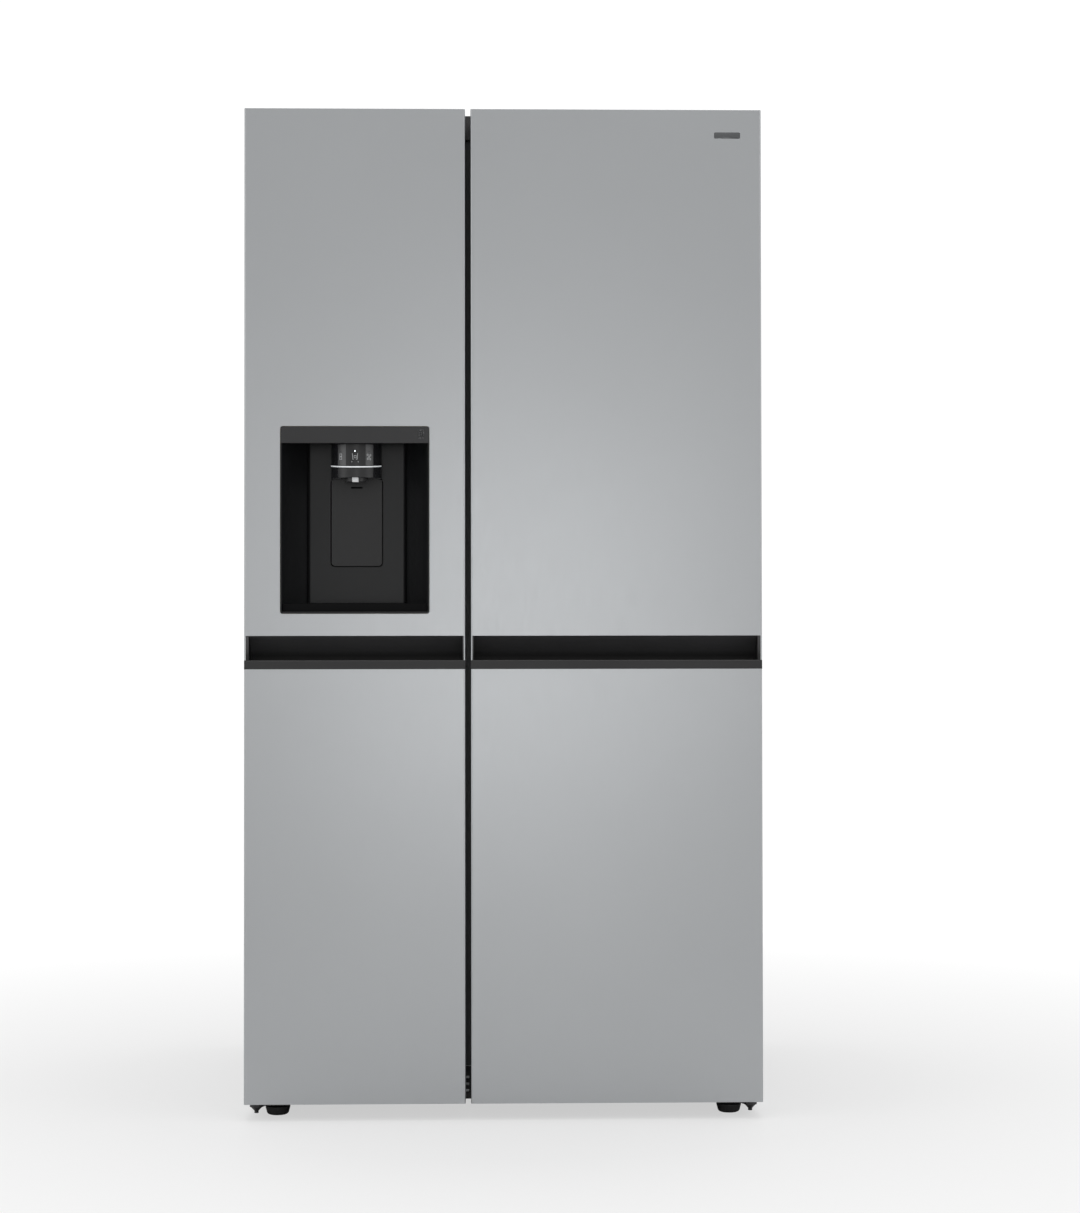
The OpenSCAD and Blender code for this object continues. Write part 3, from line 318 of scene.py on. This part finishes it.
class Build:
    """Collects solids into one mesh, in millimetres."""

    def __init__(self):
        self.points = []
        self.faces = []

    def add(self, points, faces):
        start = len(self.points)
        self.points += [Vector(p) * MM for p in points]
        self.faces += [[i + start for i in face] for face in faces]

    def box(self, x, y, z):
        self.add([(a, b, c) for a in x for b in y for c in z],
                 [(0, 1, 3, 2), (4, 6, 7, 5), (0, 4, 5, 1), (2, 3, 7, 6), (0, 2, 6, 4), (1, 5, 7, 3)])

    def loft(self, loops, closed=False):
        """Skins rings of equal length: capped, or with the last ring joined to the first."""
        count = len(loops[0])
        faces = []
        steps = len(loops) if closed else len(loops) - 1
        for i in range(steps):
            a = i * count
            b = ((i + 1) % len(loops)) * count
            for j in range(count):
                k = (j + 1) % count
                faces.append((a + j, a + k, b + k, b + j))
        if not closed:
            faces.append(tuple(range(count))[::-1])
            faces.append(tuple((len(loops) - 1) * count + j for j in range(count)))
        self.add([p for loop in loops for p in loop], faces)

    def lathe(self, origin, axis, profile, count=20):
        """Turns (radius, height) points about an axis through origin."""
        turn = Vector((0, 0, 1)).rotation_difference(Vector(axis)).to_matrix()
        loops = []
        for radius, height in profile:
            ring = []
            for j in range(count):
                a = 2 * math.pi * j / count
                arm = Vector((radius * math.cos(a), radius * math.sin(a), height))
                ring.append(Vector(origin) + turn @ arm)
            loops.append(ring)
        self.loft(loops)

    def make(self, name, material, body, slot, **options):
        return piece(name, self.points, self.faces, material, body, slot, **options)


def rounded_loop(x, z, r, y, count=6):
    """A rounded rectangle in X-Z at depth y, from (low, high) pairs."""
    loop = []
    for cx, cz, start in ((x[1] - r, z[1] - r, 0), (x[0] + r, z[1] - r, 90),
                          (x[0] + r, z[0] + r, 180), (x[1] - r, z[0] + r, 270)):
        for i in range(count + 1):
            a = math.radians(start + 90 * i / count)
            loop.append((cx + r * math.cos(a), y, cz + r * math.sin(a)))
    return loop


def around(middle, half):
    """The (low, high) pair half a width to each side of a middle."""
    return (middle - half, middle + half)


def inset(pair, by):
    """A (low, high) pair drawn in at both ends."""
    return (pair[0] + by, pair[1] - by)


def level_loop(x, y, r, z):
    """A rounded rectangle in X-Y at height z."""
    return [(px, py, z) for px, _, py in rounded_loop(x, y, r, 0, 5)]


def span(node):
    """A node's box in millimetres, as three (low, high) pairs."""
    low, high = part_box(node)
    return [(low[i] / MM, high[i] / MM) for i in range(3)]


# ---------------------------------------------------------------- dispenser fittings

surround = span("dispenser_housing")
fascia = span("dispenser_fascia")
head = span("dispenser_head")
front = fascia[1][0]
disp_x = sum(surround[0]) / 2
head_bottom = head[2][0]
HEAD_R = 45.0
FIELD_R = HEAD_R + 0.25  # outer face of the window and the touch fields
SYMBOL_R = HEAD_R + 0.4  # outer face of the symbols
head_y = head[1][0] + 46.0  # the head's axis, behind its bead


def on_head(u, z, r):
    """A point on the head's skin: u millimetres round from its front line."""
    a = u / HEAD_R
    return (disp_x + r * math.sin(a), head_y - r * math.cos(a), z)


def head_strip(build, points, width, closed=False):
    """A thin raised line on the head through (u, z) points."""
    r = SYMBOL_R
    pts = [Vector(p) for p in points]
    total = len(pts) if closed else len(pts) - 1
    for i in range(total):
        a, b = pts[i], pts[(i + 1) % len(pts)]
        along = (b - a).normalized() * width / 2
        side = Vector((-along.y, along.x))
        corners = [a - along - side, b + along - side, b + along + side, a - along + side]
        outer = [on_head(c.x, c.y, r) for c in corners]
        inner = [on_head(c.x, c.y, r - 0.5) for c in corners]
        build.add(outer + inner,
                  [(0, 1, 2, 3), (7, 6, 5, 4), (0, 4, 5, 1), (1, 5, 6, 2), (2, 6, 7, 3), (3, 7, 4, 0)])


def head_dot(build, u, z, radius):
    """A small domed dot on the head."""
    turns = [2 * math.pi * k / 16 for k in range(16)]
    loops = []
    for depth, scale in ((-0.4, 1.0), (0.0, 1.0), (0.12, 0.75), (0.16, 0.3)):
        loops.append([on_head(u + radius * scale * math.cos(t), z + radius * scale * math.sin(t),
                              SYMBOL_R + depth) for t in turns])
    build.loft(loops)


RING_TILT = math.radians(6.3)  # its front hangs lower than its ends
RING_STEP = math.radians(2.1)
RING_STEPS = 36  # to each side of the front
RING_SECTION = ((44.8, -1.3), (46.1, -1.3), (46.4, -0.9), (46.4, 0.7), (46.1, 1.1), (44.8, 1.1))
ring_z = head_bottom + 23.6
tilt = Matrix.Rotation(RING_TILT, 3, "X")
ring = Build()
ring_loops = []
for k in range(-RING_STEPS, RING_STEPS + 1):
    a = RING_STEP * k
    loop = []
    for radius, height in RING_SECTION:
        p = tilt @ Vector((radius * math.sin(a), -radius * math.cos(a), height))
        loop.append((disp_x + p.x, head_y + p.y, ring_z + p.z))
    ring_loops.append(loop)
ring.loft(ring_loops)
ring.make("dispenser_ring", RING_PAINTED_GLOW, "freezer_door", "white_plastic", bevel=0.2)


def ring_height(u):
    """How high the ring's middle runs at u millimetres round the head."""
    return ring_z - HEAD_R * math.cos(u / HEAD_R) * math.tan(RING_TILT)


def head_field(build, start, end, low, high):
    """A curved facing on the head from start to end round it; low and high are functions of the place."""
    steps = 10
    loops = []
    for k in range(steps + 1):
        u = start + (end - start) * k / steps
        corners = ((low, FIELD_R - 1.0), (high, FIELD_R - 1.0), (high, FIELD_R), (low, FIELD_R))
        loops.append([on_head(u, edge(u), r) for edge, r in corners])
    build.loft(loops)


RING_GAP = 2.4  # from the ring's middle to the facings above and below it


def above_ring(u):
    return ring_height(u) + RING_GAP


def below_ring(u):
    return ring_height(u) - RING_GAP


def window_top(u):
    return fascia[2][0] - 0.4


def window_foot(u):
    return head_bottom + 0.6


LEFT_FIELD = (-34.3, -17.0)
RIGHT_FIELD = (18.6, 34.5)
window = Build()
head_field(window, -16.8, 18.4, above_ring, window_top)
head_field(window, LEFT_FIELD[0], RIGHT_FIELD[1], window_foot, below_ring)
window.make("dispenser_window", FASCIA, "freezer_door", "handle_plastic", bevel=0.15)
# The touch fields are the touch keys; their lighter grey is partly a painted reflection.
touch_and_sheen = Build()
for start, end in (LEFT_FIELD, RIGHT_FIELD):
    head_field(touch_and_sheen, start, end, above_ring, window_top)
touch_and_sheen.make("dispenser_touch_fields_and_sheen", TOUCH_AND_SHEEN, "freezer_door", "handle_plastic", bevel=0.15)

# Symbols: two cubes on the left, a cup in the middle, crushed ice on the right.
CUBES_AT, CUP_AT, CRUSHED_AT = -27.5, -0.5, 25.3
SYMBOL_FOOT = 31.0  # above the head's lower rim
DOTS_AT = 46.5


def symbol(build, at, points, width, closed=True):
    """A line of a symbol through points from the symbol's own foot."""
    foot = head_bottom + SYMBOL_FOOT
    head_strip(build, [(at + du, foot + dz) for du, dz in points], width, closed)


glyphs = Build()
for low in (1.2, 6.6):
    symbol(glyphs, CUBES_AT, [(-2.4, low), (2.0, low), (2.0, low + 4.4), (-2.4, low + 4.4)], 0.9)
symbol(glyphs, CUP_AT, [(-4.6, 11), (-3.8, 1), (3.8, 1), (4.6, 11)], 0.9, closed=False)
symbol(glyphs, CUP_AT, [(-1.6, 3.5), (2.2, 3.5), (2.2, 7.5), (-1.6, 7.5)], 0.8)
symbol(glyphs, CUP_AT, [(-5.5, -3.5), (5.5, -3.5)], 1.5, closed=False)
for du, dz in ((-2.6, 2.2), (2.2, 1.8), (0.0, 5.6), (-2.8, 9.2), (2.6, 8.8)):
    symbol(glyphs, CRUSHED_AT, [(du - 1.5, dz), (du, dz + 1.8), (du + 1.5, dz), (du, dz - 1.8)], 0.8)
glyphs.make("dispenser_icons", ICON, "freezer_door", "handle_plastic", smooth=False)
sensors = Build()
for at in (CUBES_AT, CRUSHED_AT):
    head_dot(sensors, at, head_bottom + DOTS_AT, 0.9)
sensors.make("dispenser_sensor_dots", BLACK, "freezer_door", "handle_plastic")
lamp = Build()
head_dot(lamp, CUP_AT, head_bottom + DOTS_AT, 1.3)
lamp.make("dispenser_status_light", LIT, "freezer_door", "white_plastic")

# A plain key mark at the fascia's right end: a frame with a bar and a stem, over a short line.
mark = Build()
mark_x = surround[0][1] - 14.5
mark_z = fascia[2][1] - 12.0
mark_y = (front, front + 0.4)
for dx in (-4.6, 4.6):
    mark.box(around(mark_x + dx, 0.6), mark_y, (mark_z - 4.0, mark_z + 5.2))
for dz in (-4.0, 0.6, 5.2):
    mark.box(around(mark_x, 5.2), mark_y, around(mark_z + dz, 0.6))
mark.box(around(mark_x, 0.6), mark_y, (mark_z - 4.0, mark_z + 0.6))
mark.box(around(mark_x, 4.4), mark_y, (mark_z - 9.4, mark_z - 8.0))
mark.make("fascia_key_mark", ICON, "freezer_door", "handle_plastic", smooth=False)

paddle = span("dispenser_paddle")
SLIT_BELOW_TOP = 16.0
slit_z = around(paddle[2][1] - SLIT_BELOW_TOP, 1.4)
# The paddle's slit is a patch on its face in the painted shadow finish.
slit = Build()
slit.loft([rounded_loop(around(disp_x, 10.4), slit_z, 1.3, paddle[1][0] + d, 4) for d in (0.4, -0.05)])
slit.make("paddle_slit", SHADOW, "dispenser_paddle_body", "black_plastic", smooth=False)

# ---------------------------------------------------------------- badge, trims, seals, screws

BADGE_X, BADGE_Z = 396.0, 1734.5
BADGE_STEPS = ((22.8, 5.3, 1.8, 0.5), (22.8, 5.3, 1.8, 0.25), (22.4, 4.9, 1.5, 0.03))
badge = Build()
badge.loft([rounded_loop(around(BADGE_X, half_x), around(BADGE_Z, half_z), r, front + depth)
            for half_x, half_z, r, depth in BADGE_STEPS])
badge.make("blank_badge", PLATE, "fridge_door", "satin_steel")

SHELF_EDGE = 14  # height of a shelf's front edge


def shelf_trims(name, node):
    """A silver strip over the front edge of each shelf in a node."""
    x, y, _ = span(node)
    levels = {round(v.co.z / MM, 1) for v in nodes[node].data.vertices}
    build = Build()
    for top in sorted(z for z in levels if round(z - SHELF_EDGE, 1) in levels):
        build.box(inset(x, 0.4), (y[0] - 0.8, y[0] + 0.6), (top - SHELF_EDGE - 0.4, top + 0.5))
        build.box(inset(x, 0.4), (y[0] - 0.8, y[0] + 8.4), (top - 0.4, top + 0.5))
    build.make(name, TRIM, "cabinet", "galvanised", bevel=0.3)


shelf_trims("freezer_shelf_trims", "freezer_shelves")
shelf_trims("fridge_shelf_trims", "fridge_shelves")


def seal(name, node, body):
    """The folded vinyl seal in place of the plain gasket ring."""
    x, (base, face), z = span(node)
    corner = 18.0
    profile = [(1.0, base), (0.2, base + 2), (1.4, base + 4), (0.2, base + 6.2), (1.2, base + 8.5),
               (0.2, base + 11), (0.8, face - 0.6), (2.0, face), (12.0, face), (13.4, face - 0.8),
               (13.4, face - 4.5), (11.2, face - 5.2), (13.0, base + 6.5), (10.8, base + 4.5),
               (13.2, base + 2.4), (12.6, base)]
    build = Build()
    build.loft([rounded_loop(inset(x, by), inset(z, by), corner - by, depth, 5) for by, depth in profile],
               closed=True)
    made = build.make(name, VINYL, body, "gasket_vinyl")
    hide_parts(node)


seal("freezer_seal", "freezer_door_gasket", "freezer_door")
seal("fridge_seal", "fridge_door_gasket", "fridge_door")


def screw(build, at, axis, r, h):
    """A pan head with a dished socket."""
    build.lathe(at, axis, [(r, 0.0), (r, h * 0.45), (r * 0.86, h * 0.8), (r * 0.5, h), (r * 0.42, h),
                           (r * 0.30, h * 0.5), (0.2, h * 0.42)])


BACKWARDS, FORWARDS, UPWARDS = (0, 1, 0), (0, -1, 0), (0, 0, 1)
SCREW_INSET = 9  # from a sheet's edge
screws = Build()
cover = span("machine_cover")
for x in range(-420, 421, 210):
    for z in inset(cover[2], SCREW_INSET):
        screw(screws, (x, cover[1][1] - 0.4, z), BACKWARDS, 3.6, 1.8)
sheet_x, sheet_y, sheet_z = span("back_panel")
low, high = inset(sheet_z, 14)
for i in range(7):
    for x in inset(sheet_x, SCREW_INSET):
        screw(screws, (x, sheet_y[1] - 0.6, low + i * (high - low) / 6), BACKWARDS, 3.2, 1.4)
HINGE_PLATE_FRONT = -331.8
for sx in (-1, 1):
    for z in (38, 62):
        for x in (436, 392):
            screw(screws, (sx * x, HINGE_PLATE_FRONT, z), FORWARDS, 4.2, 2.2)
screws.make("sheet_screws", PLATE, "cabinet", "galvanised")

top = span("top_hinge_cover")
cover_screws = Build()
for x in (-300, 0, 300):
    screw(cover_screws, (x, top[1][1] - 12, top[2][1] - 2.2), UPWARDS, 4.0, 2.0)
cover_screws.make("cover_screws", DARK, "cabinet", "dark_plastic")

# ---------------------------------------------------------------- lamps inside, ribs on the back

def ceiling_lamp(name, x, y, z):
    """A frosted lens with ribs under a bright panel, its top at z."""
    lens = Build()
    lens.loft([level_loop(inset(x, by), inset(y, by), 7.0 - by, z - drop)
               for by, drop in ((0.5, 0.0), (0.5, 1.6), (1.2, 3.0), (3.0, 3.8))])
    pitch = 8
    count = int((x[1] - x[0] - 2 * pitch) / pitch)
    for i in range(count):
        left = sum(x) / 2 - pitch * count / 2 + pitch * i + 1.5
        lens.box((left, left + 5), inset(y, 6), (z - 5.0, z - 3.6))
    lens.make(name + "_lens", FROST, "cabinet", "liner_white", bevel=0.5)
    glow = Build()
    glow.loft([level_loop(inset(x, by), inset(y, by + 2), 4.0, z + rise)
               for by, rise in ((10.0, 0.6), (10.0, 0.4), (10.3, 0.3))])
    glow.make(name + "_glow", LAMP, "cabinet", "liner_white", smooth=False)


ceiling_lamp("fridge_lamp", (61, 279), (-179, -61), span("filter_housing")[2][0] + 3.6)
ceiling_lamp("freezer_lamp", (-310, -180), (-150, -70), CAVITY_TOP - 1.0)

ribs = Build()
left, right = inset(sheet_x, 110)
for i in range(6):
    middle = left + i * (right - left) / 5
    ribs.loft([rounded_loop(around(middle, half), inset(sheet_z, 106 - half), half - 0.1, sheet_y[1] + rise)
               for half, rise in ((16, -0.2), (15, 0.35), (12, 0.8))])
ribs.make("back_panel_ribs", ZINC, "cabinet", "galvanised")


# ---------------------------------------------------------------- floor, light, camera

FLOOR_HALF = 40.0  # metres
FADE_START, FADE_END = 0.75, 2.4  # metres from the middle over which the floor runs out into white
FLOOR_NEAR, FLOOR_FAR = (0.58, 0.58, 0.58, 1), (0.44, 0.44, 0.44, 1)
WHITE_NEAR = 0.55  # how white the camera sees the floor under the object, 1.0 is backdrop white
BACKDROP = 1.05
EVEN_LIGHT, TOP_LIGHT = (0.60, 0.60, 0.60, 1), (1.1, 1.1, 1.1, 1)


def stage_plane():
    """A pale floor that runs out into the white of the backdrop; reflections see it darker."""
    mesh = bpy.data.meshes.new("floor")
    mesh.from_pydata([(-FLOOR_HALF, -FLOOR_HALF, 0), (FLOOR_HALF, -FLOOR_HALF, 0),
                      (FLOOR_HALF, FLOOR_HALF, 0), (-FLOOR_HALF, FLOOR_HALF, 0)], [], [(0, 1, 2, 3)])
    material, tree, shader = new_material("floor")
    fine = noise(tree, 60.0, 2.0)
    coords = tree.nodes.new("ShaderNodeTexCoord")
    reach = tree.nodes.new("ShaderNodeVectorMath")
    reach.operation = "LENGTH"
    tree.links.new(coords.outputs["Object"], reach.inputs[0])
    fade = tree.nodes.new("ShaderNodeMapRange")
    fade.inputs["From Min"].default_value = FADE_START
    fade.inputs["From Max"].default_value = FADE_END
    tree.links.new(reach.outputs["Value"], fade.inputs["Value"])
    shade = tree.nodes.new("ShaderNodeMix")
    shade.data_type = "RGBA"
    shade.inputs["A"].default_value = FLOOR_NEAR
    shade.inputs["B"].default_value = FLOOR_FAR
    tree.links.new(fade.outputs["Result"], shade.inputs["Factor"])
    tree.links.new(shade.outputs["Result"], shader.inputs["Base Color"])
    tree.links.new(remap(tree, fine, 0.75, 0.85), shader.inputs["Roughness"])
    shader.inputs["Specular IOR Level"].default_value = 0.2
    path = tree.nodes.new("ShaderNodeLightPath")
    pale = tree.nodes.new("ShaderNodeMapRange")
    pale.inputs["To Min"].default_value = WHITE_NEAR
    tree.links.new(fade.outputs["Result"], pale.inputs["Value"])
    seen = tree.nodes.new("ShaderNodeMath")
    seen.operation = "MULTIPLY"
    tree.links.new(pale.outputs["Result"], seen.inputs[0])
    tree.links.new(path.outputs["Is Camera Ray"], seen.inputs[1])
    white = tree.nodes.new("ShaderNodeEmission")
    white.inputs["Strength"].default_value = BACKDROP
    mix = tree.nodes.new("ShaderNodeMixShader")
    tree.links.new(seen.outputs["Value"], mix.inputs[0])
    tree.links.new(shader.outputs["BSDF"], mix.inputs[1])
    tree.links.new(white.outputs["Emission"], mix.inputs[2])
    tree.links.new(mix.outputs["Shader"], tree.nodes["Material Output"].inputs["Surface"])
    mesh.materials.append(material)
    floor = bpy.data.objects.new("floor", mesh)
    bpy.context.scene.collection.objects.link(floor)


def softbox(name, place, aim, size, radiance):
    """A rectangular soft light at a place, turned to its aim and not seen by the camera itself."""
    data = bpy.data.lights.new(name, "AREA")
    data.shape = "RECTANGLE"
    data.size, data.size_y = size
    data.energy = radiance * math.pi * size[0] * size[1]
    light = bpy.data.objects.new(name, data)
    light.location = place
    light.rotation_euler = (Vector(aim) - Vector(place)).to_track_quat("-Z", "Y").to_euler()
    light.visible_camera = False
    bpy.context.scene.collection.objects.link(light)


def studio_world():
    """Even light all round and more from above; the backdrop itself is white."""
    world = bpy.data.worlds.new("studio")
    bpy.context.scene.world = world
    world.use_nodes = True
    tree = world.node_tree
    tree.nodes.clear()
    coords = tree.nodes.new("ShaderNodeTexCoord")
    split = tree.nodes.new("ShaderNodeSeparateXYZ")
    height = tree.nodes.new("ShaderNodeValToRGB")
    ramp = height.color_ramp
    ramp.elements[0].position = 0.0
    ramp.elements[0].color = EVEN_LIGHT
    ramp.elements[1].position = 0.45
    ramp.elements[1].color = EVEN_LIGHT
    ramp.elements.new(0.95).color = TOP_LIGHT
    lit = tree.nodes.new("ShaderNodeBackground")
    seen = tree.nodes.new("ShaderNodeBackground")
    seen.inputs["Color"].default_value = (1, 1, 1, 1)
    seen.inputs["Strength"].default_value = BACKDROP
    path = tree.nodes.new("ShaderNodeLightPath")
    mix = tree.nodes.new("ShaderNodeMixShader")
    out = tree.nodes.new("ShaderNodeOutputWorld")
    tree.links.new(coords.outputs["Generated"], split.inputs["Vector"])
    tree.links.new(split.outputs["Z"], height.inputs["Fac"])
    tree.links.new(height.outputs["Color"], lit.inputs["Color"])
    tree.links.new(path.outputs["Is Camera Ray"], mix.inputs["Fac"])
    tree.links.new(lit.outputs["Background"], mix.inputs[1])
    tree.links.new(seen.outputs["Background"], mix.inputs[2])
    tree.links.new(mix.outputs["Shader"], out.inputs["Surface"])


def add_camera(place, yaw, pitch, roll, lens_mm):
    """A camera looking along +Y, turned right by yaw, up by pitch and rolled, in degrees."""
    data = bpy.data.cameras.new("camera")
    data.lens = lens_mm
    data.sensor_width = 36.0
    data.clip_end = 200.0
    camera = bpy.data.objects.new("camera", data)
    yaw, pitch, roll = (math.radians(a) for a in (yaw, pitch, roll))
    level = math.cos(pitch)
    forward = Vector((math.sin(yaw) * level, math.cos(yaw) * level, math.sin(pitch)))
    right = Vector((math.cos(yaw), -math.sin(yaw), 0))
    up = right.cross(forward)
    across = right * math.cos(roll) + up * math.sin(roll)
    upright = up * math.cos(roll) - right * math.sin(roll)
    turn = Matrix((across, upright, -forward)).transposed().to_4x4()
    camera.matrix_world = Matrix.Translation(place) @ turn
    bpy.context.scene.collection.objects.link(camera)
    bpy.context.scene.camera = camera


stage_plane()
studio_world()
softbox("key_front", (0.06, -4.75, 0.88), (0.03, 0.0, 0.80), (1.1, 1.1), 1.75)
softbox("side_left", (-2.9, -1.9, 1.2), (-0.2, -1.0, 1.0), (1.6, 2.4), 0.9)
softbox("side_right", (2.9, -1.9, 1.2), (0.2, -1.0, 1.0), (1.6, 2.4), 0.8)
softbox("top", (0.0, 0.2, 4.4), (0.0, 0.1, 0.0), (3.4, 3.0), 2.2)
softbox("back", (0.0, 4.5, 2.4), (0.0, 0.4, 0.9), (3.4, 2.4), 1.2)
add_camera((-0.0369, -4.6651, 0.8384), 1.3625, 0.8511, -0.0674, 71.465)
bpy.context.scene.view_settings.view_transform = "Standard"
